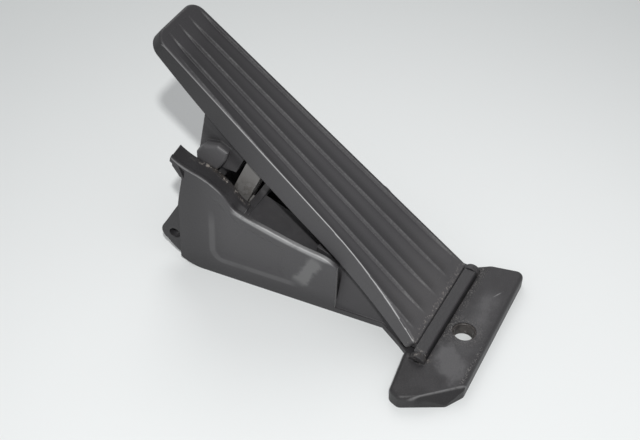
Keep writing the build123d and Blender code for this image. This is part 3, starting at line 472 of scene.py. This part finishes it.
foot = y.fall(*FOOT_REAR) * z.fall(*FOOT_TOP)
strip = (y - STRIP_Y + (ragged - 0.5) * STRIP_FRAY).near(0.0, STRIP_HALF_WIDTH)
strip = strip * x.near(0.0, STRIP_HALF_LENGTH).step(0.05, 0.40) * cloud.step(0.30, 0.58)
lengthwise, crosswise = turned(x - HEEL_X, y - HEEL_Y, HEEL_TURN)
lengthwise, crosswise = lengthwise / HEEL_HALF_LENGTH, crosswise / HEEL_HALF_WIDTH
from_heel = (lengthwise * lengthwise + crosswise * crosswise).root()
heel = (from_heel + (cloud - 0.5) * 1.6 + (ragged - 0.5) * 1.1).fall(0.45, 1.15)
wiped = strip.larger(heel) * foot * facing_up.step(0.80, 0.98)
tip_grime = x.fall(*TIP_RIGHT) * cloud.step(0.30, 0.60)
beside_bar = y.near(BAR_GRIME_Y, BAR_GRIME_HALF_WIDTH) * x.step(*BAR_LEFT)
plastic = coats(
    plastic,
    (foot, 0.75, grey(0.028)),
    (foot * tip_grime, 0.70, grey(0.017, 0.03)),
    (foot * beside_bar * cloud.step(0.25, 0.50), 0.55, grey(0.016, 0.03)),
    (wiped, 0.85, grey(0.084)),
)
print("foot greased and wiped")

# %% [markdown]
# The front left corner of the foot is a sloping facet: it is painted dark as painted shade, below
# a thin painted highlight along its upper edge. The mask follows the line in which the slope meets
# the top of the foot, so paint and cut agree. Fine grit lies along the hinge bar, round the fixing
# hole and on the worn front edge.

# %% Housing: facet shade, edge highlight and grit
FACET_TOP = Vector((-0.0590, 0.0120, 0.0080))
FACET_OUTWARD = Vector((-1.144, -1.120, 1.0))
FACET_EDGE, FACET_RIGHT = (0.0, 0.0006), (-0.0360, -0.0310)
EDGE_LINE_OFFSET, EDGE_LINE_HALF_WIDTH = -0.0002, 0.0007
EDGE_LINE_RIGHT, EDGE_LINE_FOOT = (-0.0330, -0.0280), (0.0045, 0.0070)
WEAR_Y, WEAR_HALF_WIDTH = -0.0124, 0.0017
WEAR_LEFT, WEAR_RIGHT = (-0.0360, -0.0310), (-0.0140, 0.0040)
HOLE_GRIT = (0.006, 0.013)

outward = FACET_OUTWARD.xy.normalized()
beyond = (x - FACET_TOP.x) * outward.x + (y - FACET_TOP.y) * outward.y
# painted shade on the facet, and painted highlight along its upper edge
facet = foot * beyond.step(*FACET_EDGE) * x.fall(*FACET_RIGHT)
foot_edge_highlight = foot * beyond.near(EDGE_LINE_OFFSET, EDGE_LINE_HALF_WIDTH) * x.fall(*EDGE_LINE_RIGHT)
foot_edge_highlight = foot_edge_highlight * ragged.step(0.25, 0.50) * z.step(*EDGE_LINE_FOOT)
front_wear = y.near(WEAR_Y, WEAR_HALF_WIDTH) * x.window(*WEAR_LEFT, *WEAR_RIGHT)
from_hole = (x * x + y * y).root()
grit_place = beside_bar + from_hole.fall(*HOLE_GRIT) * 0.8 + front_wear * 1.4 + 0.06
grit = foot * grit_place * point.noise(1300.0, 4.0, 0.7).step(0.52, 0.59)
print("facet and grit marked")

# %% [markdown]
# Old grease holds a knot of crumbs at the open end of the bar, and more on the ledge beside
# the strut. One nick in the foot has gone pale. With these the housing's last coats go on.

# %% Housing: grease, crumbs and a nick
KNOT_X, KNOT_HALF_WIDTH = -0.0262, 0.0062
KNOT_Y, KNOT_HALF_LENGTH, KNOT_FOOT = 0.0130, 0.0075, (0.004, 0.008)
NICK_X, NICK_Y, NICK_SLANT = 0.0332, -0.0057, 0.5
NICK_HALF_LENGTH, NICK_HALF_WIDTH = 0.0042, 0.0006
OLD_GREASE = (0.045, 0.038, 0.030, 1.0)

knot = x.near(KNOT_X, KNOT_HALF_WIDTH) * y.near(KNOT_Y, KNOT_HALF_LENGTH) * z.step(*KNOT_FOOT)
grease = ledge.larger(knot) * point.noise(330.0, 4.0, 0.6).step(0.44, 0.58)
crumbs = knot * point.noise(420.0, 4.0, 0.7).step(0.53, 0.60)
crumbs = crumbs.larger(ledge * point.noise(380.0, 4.0, 0.7).step(0.54, 0.61))
nick = (y - NICK_Y + (x - NICK_X) * NICK_SLANT).near(0.0, NICK_HALF_WIDTH)
nick = nick * x.near(NICK_X, NICK_HALF_LENGTH) * foot * ragged.step(0.30, 0.55)
plastic = coats(
    plastic,
    # painted shade on the facet, then painted highlight on its edge
    (facet, 0.85, grey(0.010)),
    (foot_edge_highlight, 0.60, grey(0.20)),
    (grease, 0.60, OLD_GREASE),
    (grit, 0.60, grey(0.18, 0.04)),
    (crumbs, 0.75, grey(0.42, 0.10)),
    (nick, 0.70, grey(0.30)),
)
print("grit and crumbs laid")

# %% [markdown]
# Gloss and relief follow the same masks. Grease, wiped places and the bead shine more and dust
# shines less; grease, grit and crumbs stand a little proud of the moulded grain. The sensor
# cover is moulded from the same plastic.

# %% Housing: gloss and relief
GRAIN_HEIGHT = 0.0004

roughness = cloud * 0.16 + 0.40 + dust * 0.12 - grease * 0.22 - wiped * 0.10 - bead_highlight * 0.10
relief = fine * 0.5 + cloud * 0.6 + grease * 0.8 + grit * 0.6 + crumbs
plug(shader, "Base Color", plastic)
plug(shader, "Roughness", roughness)
plug(shader, "Normal", bump(point, relief, GRAIN_HEIGHT, 0.55, rounded))
dress(material, "base_housing", "sensor_cover")
print("housing:", len(material.node_tree.nodes), "nodes")

# %% [markdown]
# The front left corner of the foot falls away in a sloping facet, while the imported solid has
# its full corner there. A merged copy of the housing takes the solid's place: one slanting
# plane cuts the corner off and the cut is filled, as a file would leave it. The normals are
# then weighed by area, so that the large flat faces stay flat beside their rounded edges.

# %% Housing: the facet of the foot
SAME_POINT = 0.000001
SMOOTH_BELOW_RADIANS = 0.6


def faceted_housing():
    solid = nodes["base_housing"]
    bpy.ops.object.select_all(action="DESELECT")
    solid.select_set(True)
    bpy.context.view_layer.objects.active = solid
    bpy.ops.object.duplicate()
    housing = bpy.context.object
    housing.name = "faceted_housing"
    bpy.ops.object.parent_clear(type="CLEAR_KEEP_TRANSFORM")
    del housing["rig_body"], housing["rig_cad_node"]
    bpy.ops.mesh.customdata_custom_splitnormals_clear()
    bpy.ops.object.mode_set(mode="EDIT")
    bpy.ops.mesh.select_all(action="SELECT")
    bpy.ops.mesh.remove_doubles(threshold=SAME_POINT)
    bpy.ops.mesh.bisect(plane_co=FACET_TOP, plane_no=FACET_OUTWARD, use_fill=True, clear_outer=True)
    bpy.ops.object.mode_set(mode="OBJECT")
    bpy.ops.object.shade_smooth_by_angle(angle=SMOOTH_BELOW_RADIANS)
    flatten = housing.modifiers.new("flatten", "WEIGHTED_NORMAL")
    flatten.keep_sharp = True
    bpy.ops.object.modifier_apply(modifier="flatten")
    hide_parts("base_housing")
    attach(housing, "base")
    return housing


housing = faceted_housing()
print("housing copy:", len(housing.data.polygons), "faces")

# %% [markdown]
# The tread is softer and more satin. Shoes leave lengthwise scuffs. Each ridge gets a line of
# painted highlight, and the flute beside it painted shade. Length along the slope and height
# above its face are worked out from the object coordinates, so the highlight lines sit exactly on
# the ridges of the moulding. Each ridge is given by its x at the low end and at the head.

# %% Tread: ridges, flutes and scuffs
FACE_Y, FACE_Z, FACE_TILT = 0.0168, 0.0112, 36.648
RIDGE_START, RIDGE_LENGTH, RIDGE_HALF_WIDTH = 0.009, 0.185, 0.0011
RIDGES = ((-0.0165, -0.0004), (-0.0040, 0.0056), (0.0102, 0.0144), (0.0253, 0.0230), (0.0396, 0.0320))
FURROW_LEFT, FURROW_RIGHT = (0.0003, 0.0012), (0.0012, 0.0085)
FACE_SKIN, FACE_START = (-0.0018, -0.0004), (0.004, 0.012)
RIDGE_HIGHLIGHT_END, FURROW_END = (0.176, 0.188), (0.180, 0.192)

material, shader, point = new_material("tread_black")
x, y, z = point.axis("X"), point.axis("Y"), point.axis("Z")
along, above = turned(y - FACE_Y, z - FACE_Z, FACE_TILT)
share = (along - RIDGE_START) / RIDGE_LENGTH
ridge, flute_shade = 0.0, 0.0
for at_low_end, at_head in RIDGES:
    beside = x - share * (at_head - at_low_end) - at_low_end
    ridge = beside.near(0.0, RIDGE_HALF_WIDTH).larger(ridge)
    flute_shade = beside.window(*FURROW_LEFT, *FURROW_RIGHT).larger(flute_shade)
on_face = above.step(*FACE_SKIN) * along.step(*FACE_START)
cloud = point.noise(30.0, 5.0)
fine = point.noise(1100.0, 3.0)
specks = point.noise(650.0, 5.0, 0.75)
scuff = point.stretch(420.0, 26.0, 26.0).noise(1.0, 5.0, 0.7).step(0.60, 0.80)
# painted highlight along each ridge
ridge_highlight = ridge * on_face * point.noise(60.0, 5.0, 0.7).step(0.25, 0.60)
ridge_highlight = ridge_highlight * (specks.step(0.42, 0.60) * 0.8 + 0.4) * along.fall(*RIDGE_HIGHLIGHT_END)
# painted shade in the flute beside each ridge
flute_shade = flute_shade * on_face * along.fall(*FURROW_END) * (cloud * 0.6 + 0.6)
print("tread ridges:", len(RIDGES))

# %% [markdown]
# The face gets painted shade towards the head, where less light falls. The ridges' painted
# highlight is strongest at the low end.

# %% Tread: coats of the face
HEAD_END, LOW_END = (0.090, 0.200), (0.012, 0.040)

# painted shade towards the head
head_shade = along.step(*HEAD_END)
low_end = along.fall(*LOW_END)
plastic = coats(
    cloud.paint(grey(0.050), grey(0.062)),
    (scuff, 0.25, grey(0.10)),
    (head_shade, 0.72, grey(0.022)),
    (flute_shade, 0.75, grey(0.016)),
    (ridge_highlight, low_end * 0.35 + 0.60, grey(0.150)),
)
print("tread plastic started")

# %% [markdown]
# A thin bright line of painted highlight runs along the left edge. The edge tapers evenly in
# its upper part and swings outwards in a parabola lower down, so the line is drawn by the same
# formula. The skirt below the edge is painted a little paler than the face, as painted light, and
# dark at the head, as painted shade.

# %% Tread: highlight on the left edge, and the skirt
FLARE_TOP, FLARE_CURVE = 0.075, 2.018
EDGE_X, EDGE_TAPER = -0.0088, 0.0461
LINE_OFFSET, LINE_HALF_WIDTH = 0.00030, 0.00024
LINE_DEPTH, LINE_START = (-0.0016, -0.0009), (0.001, 0.004)

flare = (FLARE_TOP - along).larger(0.0)
left_edge = (along - FLARE_TOP) * EDGE_TAPER - flare * flare * FLARE_CURVE + EDGE_X
# painted highlight along the left edge
left_edge_highlight = (x - left_edge).near(LINE_OFFSET, LINE_HALF_WIDTH) * above.step(*LINE_DEPTH)
left_edge_highlight = left_edge_highlight * along.step(*LINE_START) * (1.0 - head_shade * 0.75)
left_edge_highlight = left_edge_highlight * point.noise(45.0, 4.0, 0.7).step(0.22, 0.48)
skirt = flat_normal(point).axis("X").fall(-0.95, -0.75)
print("left edge flares below", FLARE_TOP)

# %% [markdown]
# Pale dust lies on the low end, and its pale coat also stands in as painted light there. Grit
# lies in the gap above the hinge bar. The bar itself stays darker and oilier than the face, and
# crumbs stick to its open end.

# %% Tread: low end and hinge bar
BAR_END, TOE_DUST = (-0.0006, 0.0006), (0.004, 0.050)
GAP_ALONG, GAP_HALF_LENGTH = 0.0020, 0.0032
BAR_CRUMBS_X, BAR_CRUMBS_HALF_WIDTH = -0.0265, 0.0040

bar = along.fall(*BAR_END)
# pale dust on the low end, partly painted light
toe_dust_and_light = along.fall(*TOE_DUST) * (1.0 - bar) * cloud.step(0.35, 0.60)
hinge_grit = along.near(GAP_ALONG, GAP_HALF_LENGTH) * specks.step(0.54, 0.62)
bar_crumbs = bar * x.near(BAR_CRUMBS_X, BAR_CRUMBS_HALF_WIDTH) * specks.step(0.56, 0.62) * 0.8
print("low end and bar marked")

# %% [markdown]
# The arm behind the tread reaches down into the housing. It is painted lighter than the face, as
# painted light, with painted shade right under the face and crumbs in the grease along its lower
# edge.

# %% Tread: the arm behind it
ARM_FRONT, ARM_TOP = (0.128, 0.131), (-0.0200, -0.0180)
SHADE_FOOT, SHADE_LEFT = (-0.0300, -0.0220), (-0.0055, -0.0045)
CRUMBS_TOP, CRUMBS_RIGHT = (0.0610, 0.0680), (-0.0062, -0.0050)

arm = y.step(*ARM_FRONT) * above.fall(*ARM_TOP)
arm_shade = arm * above.step(*SHADE_FOOT) * x.step(*SHADE_LEFT)
arm_crumbs = arm * z.fall(*CRUMBS_TOP) * x.fall(*CRUMBS_RIGHT)
arm_crumbs = arm_crumbs * point.noise(380.0, 4.0, 0.7).step(0.52, 0.62)
print("arm marked")

# %% [markdown]
# The last coats go on from the broad marks to the fine ones; the skirt and the arm get painted
# light and painted shade, and the edges a painted highlight. The ridges under their highlight, the
# bright edge and the oily bar shine more than the rest, and scuffs are cut slightly into the grain.

# %% Tread: last coats, gloss and relief
TREAD_CORNER = 0.0006

rounded = soft_corner(point, TREAD_CORNER)
plastic = coats(
    plastic,
    (toe_dust_and_light, 0.30, grey(0.10, 0.03)),
    (bar, 0.80, grey(0.021)),
    # painted light on the skirt, and painted shade on it at the head
    (skirt * (1.0 - head_shade * 0.95), 0.60, grey(0.072)),
    (skirt * head_shade, 0.60, grey(0.010)),
    # the arm painted lighter, as painted light, then painted shade under the face
    (arm, 0.70, grey(0.095)),
    (arm_shade, 0.70, grey(0.020)),
    # worn edges, their pale coat partly a painted highlight
    (worn_and_lit_edge(point, rounded), 0.30, grey(0.15)),
    (hinge_grit.larger(bar_crumbs), 0.60, grey(0.30, 0.08)),
    (arm_crumbs, 0.70, grey(0.34, 0.12)),
    (left_edge_highlight, 0.75, grey(0.62)),
)
relief = fine * 0.5 + cloud * 0.5 - scuff * 0.25
plug(shader, "Base Color", plastic)
plug(shader, "Roughness", cloud * 0.12 + 0.42 - ridge_highlight * 0.14 - left_edge_highlight * 0.15 - bar * 0.08)
plug(shader, "Normal", bump(point, relief, GRAIN_HEIGHT, 0.5, rounded))
dress(material, "pedal_plate")
print("tread:", len(material.node_tree.nodes), "nodes")

# %% [markdown]
# The strut and the lever are slippery plastic, a little lighter than the housing. A band of
# grease wets them at the height of the slot.

# %% Strut and lever plastic
SLOT_HEIGHT, WET_HALF_HEIGHT = 0.052, 0.014
THIN_GREASE = (0.060, 0.052, 0.042, 1.0)

material, shader, point = new_material("strut_grey")
cloud = point.noise(60.0, 5.0)
wet = point.axis("Z").near(SLOT_HEIGHT, WET_HALF_HEIGHT) * point.noise(300.0, 4.0).step(0.42, 0.58)
plastic = coats(cloud.paint(grey(0.160, 0.03), grey(0.210, 0.03)), (wet, 0.35, THIN_GREASE))
plug(shader, "Base Color", plastic)
plug(shader, "Roughness", cloud * 0.2 + 0.32 - wet * 0.2)
plug(shader, "Normal", bump(point, cloud + wet, GRAIN_HEIGHT, 0.4))
dress(material, "drive_link", "drive_lever", "magnet_holder")
print("strut and lever dressed")

# %% [markdown]
# The pins, the shaft and the cover screws are turned from bright steel bar. The lathe leaves
# fine rings and air leaves a brown bloom, so one stretched noise drives the rings and a second,
# slower one the bloom.

# %% Turned steel
material, shader, point = new_material("turned_steel")
rings = point.stretch(1.0, 1.0, 40.0).noise(90.0, 4.0)
tarnish = point.noise(140.0, 5.0).step(0.45, 0.70)
plug(shader, "Base Color", tarnish.paint(grey(0.52), grey(0.30, 0.06)))
plug(shader, "Metallic", 1.0)
plug(shader, "Roughness", rings * 0.25 + 0.22)
plug(shader, "Normal", bump(point, rings, 0.0001, 0.4))
dress(material, "hinge_pin", "lever_shaft", "link_pin_top", "link_pin_bottom", "cover_screws")
print("turned steel on the pins, the shaft and the screws")

# %% [markdown]
# The sleeve in the fixing hole is the same kind of steel, but it lives under the mat: it has
# gone dark brown, and only a few spots still shine like metal.

# %% Dirty sleeve
SLEEVE_BROWN, RUST_BROWN = (0.058, 0.050, 0.046, 1.0), (0.024, 0.020, 0.018, 1.0)

material, shader, point = new_material("dirty_sleeve")
rust = point.noise(260.0, 5.0, 0.65).step(0.40, 0.66)
glint = point.noise(420.0, 3.0).step(0.60, 0.70)
plug(shader, "Base Color", coats(rust.paint(SLEEVE_BROWN, RUST_BROWN), (glint, 0.5, grey(0.34, 0.05))))
plug(shader, "Metallic", glint * 0.5)
plug(shader, "Roughness", rust * 0.25 + 0.38)
plug(shader, "Normal", bump(point, rust, 0.0002, 0.5))
dress(material, "fixing_sleeve")
print("sleeve aged")

# %% [markdown]
# Springs are wound from drawn wire that is tempered dark and left oily. The clip of the shaft
# and the magnet take the same dark metal.

# %% Spring wire
spring_wire, shader, point = new_material("spring_wire")
drawn = point.noise(320.0, 5.0)
plug(shader, "Base Color", drawn.paint(grey(0.16), grey(0.30)))
plug(shader, "Metallic", 1.0)
plug(shader, "Roughness", drawn * 0.2 + 0.25)
dress(spring_wire, "shaft_clip", "sensor_magnet")
print("spring wire on the clip and the magnet")

# %% [markdown]
# Each return spring rests one leg on the tray and holds the other under the lever's paddle, so
# it winds up when the pedal goes down. A rigid solid can't, so the scene models its own coil: a
# ring of wire is screwed through three and a half turns, the legs are pulled out of its two
# ends.

# %% Return springs wound from wire
COIL_Y, COIL_Z, COIL_RADIUS = 0.080, 0.018, 0.0104
COIL_RADIANS, COIL_LENGTH, COIL_STEPS = 21.9911, 0.008225, 168
COIL_STARTS = {"left": 0.0200, "right": 0.0348}
WIRE_RADIUS, WIRE_POINTS = 0.0010, 18
LEG_ASIDE, LEG_BACK = 0.00068, 0.01899
WIRE_SMOOTH_RADIANS, UPRIGHT_RADIANS = 0.8, 1.5708


def pull_leg(coil, first, push):
    for vertex in coil.data.vertices:
        vertex.select = first <= vertex.index < first + WIRE_POINTS
    bpy.ops.object.mode_set(mode="EDIT")
    bpy.ops.mesh.extrude_region_move(TRANSFORM_OT_translate={"value": push})
    bpy.ops.mesh.edge_face_add()
    bpy.ops.mesh.select_all(action="DESELECT")
    bpy.ops.object.mode_set(mode="OBJECT")


def winding_spring(side, start_x):
    start, end = (start_x, COIL_Y, COIL_Z), (start_x - COIL_LENGTH, COIL_Y, COIL_Z)
    bpy.ops.object.select_all(action="DESELECT")
    bpy.ops.mesh.primitive_circle_add(
        vertices=WIRE_POINTS,
        radius=WIRE_RADIUS,
        location=(start_x, COIL_Y, COIL_Z - COIL_RADIUS),
        rotation=(UPRIGHT_RADIANS, 0.0, 0.0),
    )
    coil = bpy.context.object
    coil.name = "winding_spring_" + side
    bpy.ops.object.transform_apply(location=False, rotation=True, scale=False)
    bpy.context.scene.cursor.location = start
    bpy.ops.object.origin_set(type="ORIGIN_CURSOR")
    turns = coil.modifiers.new("turns", "SCREW")
    turns.axis = "X"
    turns.angle = -COIL_RADIANS
    turns.screw_offset = -COIL_LENGTH
    turns.steps = turns.render_steps = COIL_STEPS
    bpy.ops.object.modifier_apply(modifier="turns")
    pull_leg(coil, len(coil.data.vertices) - WIRE_POINTS, (-LEG_ASIDE, LEG_BACK, 0.0))
    pull_leg(coil, 0, (LEG_ASIDE, LEG_BACK, 0.0))
    bpy.ops.object.mode_set(mode="EDIT")
    bpy.ops.mesh.select_all(action="SELECT")
    bpy.ops.mesh.normals_make_consistent(inside=False)
    bpy.ops.object.mode_set(mode="OBJECT")
    bpy.ops.object.transform_apply(location=True, rotation=True, scale=True)
    bpy.ops.object.shade_smooth_by_angle(angle=WIRE_SMOOTH_RADIANS)
    coil.data.materials.append(spring_wire)
    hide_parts("return_spring_" + side)
    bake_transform(coil)
    return coil


for side, start_x in COIL_STARTS.items():
    coil = winding_spring(side, start_x)
    print(coil.name, len(coil.data.vertices), "points", tuple(round(d, 4) for d in coil.dimensions))
bpy.context.scene.cursor.location = (0.0, 0.0, 0.0)

# %% [markdown]
# The stop pads, the lip ring and the gasket are soft black rubber with fine pores and almost
# no shine.

# %% Rubber
material, shader, point = new_material("stop_rubber")
pores = point.noise(700.0, 4.0)
plug(shader, "Base Color", pores.paint(grey(0.018), grey(0.035)))
plug(shader, "Roughness", pores * 0.2 + 0.7)
plug(shader, "Normal", bump(point, pores, 0.0003, 0.4))
dress(material, "rest_stop_pad", "full_travel_stop", "shaft_seal", "cover_gasket")
print("rubber on pads, ring and gasket")

# %% [markdown]
# The bushes and the washer are an ivory bearing plastic that needs no grease, waxy and bright
# against the black around them.

# %% Bearing plastic
IVORY_DARK, IVORY_PALE = (0.55, 0.52, 0.44, 1.0), (0.66, 0.63, 0.54, 1.0)

material, shader, point = new_material("bush_ivory")
grain = point.noise(240.0, 4.0)
plug(shader, "Base Color", grain.paint(IVORY_DARK, IVORY_PALE))
plug(shader, "Roughness", grain * 0.15 + 0.38)
dress(material, "left_bush", "right_bush", "thrust_washer")
print("bushes dressed")

# %% [markdown]
# Behind the cover sit the electronics. The board is green lacquer over woven glass, and the
# weave shows as a faint grid; the two chips are plain moulded black; the contacts are rolled
# brass.

# %% Board, chips and contacts
LACQUER_DARK, LACQUER_PALE = (0.012, 0.075, 0.030, 1.0), (0.020, 0.11, 0.045, 1.0)
BRASS_DARK, BRASS_PALE = (0.58, 0.42, 0.18, 1.0), (0.70, 0.54, 0.26, 1.0)

material, shader, point = new_material("board_green")
weave = point.stretch(1.0, 900.0, 900.0).cells(1.0)
plug(shader, "Base Color", weave.paint(LACQUER_DARK, LACQUER_PALE))
plug(shader, "Roughness", weave * 0.1 + 0.35)
dress(material, "circuit_board")

material, shader, point = new_material("chip_black")
grain = point.noise(900.0, 3.0)
plug(shader, "Base Color", grain.paint(grey(0.012), grey(0.022)))
plug(shader, "Roughness", grain * 0.1 + 0.5)
dress(material, "hall_sensors")

material, shader, point = new_material("contact_brass")
grain = point.noise(500.0, 3.0)
plug(shader, "Base Color", grain.paint(BRASS_DARK, BRASS_PALE))
plug(shader, "Metallic", 1.0)
plug(shader, "Roughness", grain * 0.15 + 0.25)
dress(material, "contact_pins")
print("electronics dressed")
